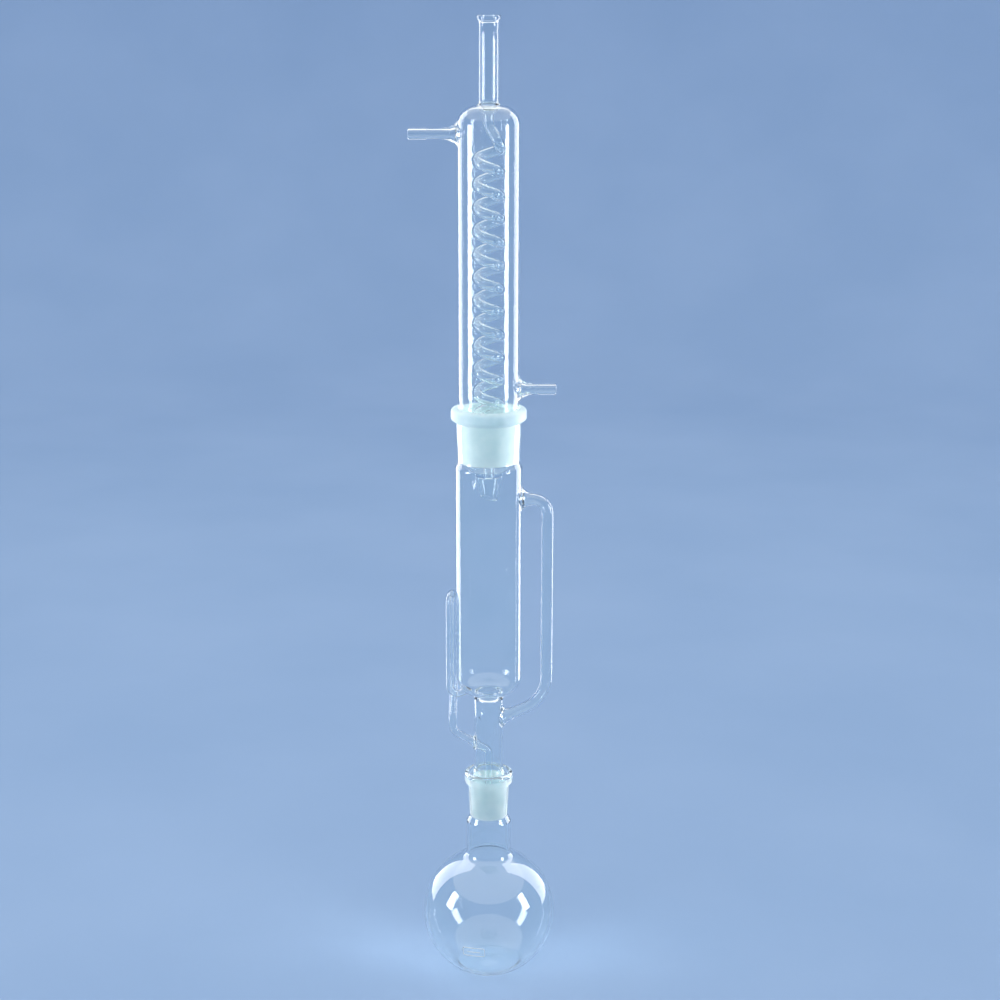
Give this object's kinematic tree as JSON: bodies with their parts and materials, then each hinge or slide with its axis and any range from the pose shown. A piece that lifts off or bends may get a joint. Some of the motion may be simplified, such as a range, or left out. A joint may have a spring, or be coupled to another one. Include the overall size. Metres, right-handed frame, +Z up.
{
  "type": "soxhlet extractor",
  "caption": "Glass soxhlet extractor: a flat-bottomed flask, an extraction chamber with vapour arm and siphon, and a coil condenser stacked on ground tapers.",
  "frame": {"origin": "centre of the flask's flat base, on the common axis", "axes": "+Z up along the common axis of flask, extractor and condenser; +X to the vapour tube and the water inlet; +Y away from the front"},
  "size_m": [0.1086, 0.102, 0.73],
  "materials": {
    "clear_glass": "clear, fire-polished borosilicate",
    "ground_glass": "finely ground, frosted taper zone with clear rims"
  },
  "bodies": {
    "flask": {"flask_bulb": "clear_glass", "flask_neck": "clear_glass", "flask_socket": "ground_glass"},
    "extractor": {"lower_cone": "ground_glass", "drip_tube": "clear_glass", "chamber_seal": "clear_glass", "chamber": "clear_glass", "chamber_socket": "ground_glass", "vapour_tube": "clear_glass", "siphon_tube": "clear_glass", "siphon_spout": "clear_glass"},
    "condenser": {"condenser_cone": "ground_glass", "lower_seal": "clear_glass", "drip_tip": "clear_glass", "jacket": "clear_glass", "coil": "clear_glass", "upper_seal": "clear_glass", "vent_tube": "clear_glass", "water_outlet": "clear_glass", "water_inlet": "clear_glass"}
  },
  "joints": [
    {"name": "extractor_lift", "type": "slide", "parent": "flask", "child": "extractor", "axis": [0, 0, 1], "range_m": [0, 0.06]},
    {"name": "condenser_lift", "type": "slide", "parent": "extractor", "child": "condenser", "axis": [0, 0, 1], "range_m": [0, 0.08]}
  ]
}
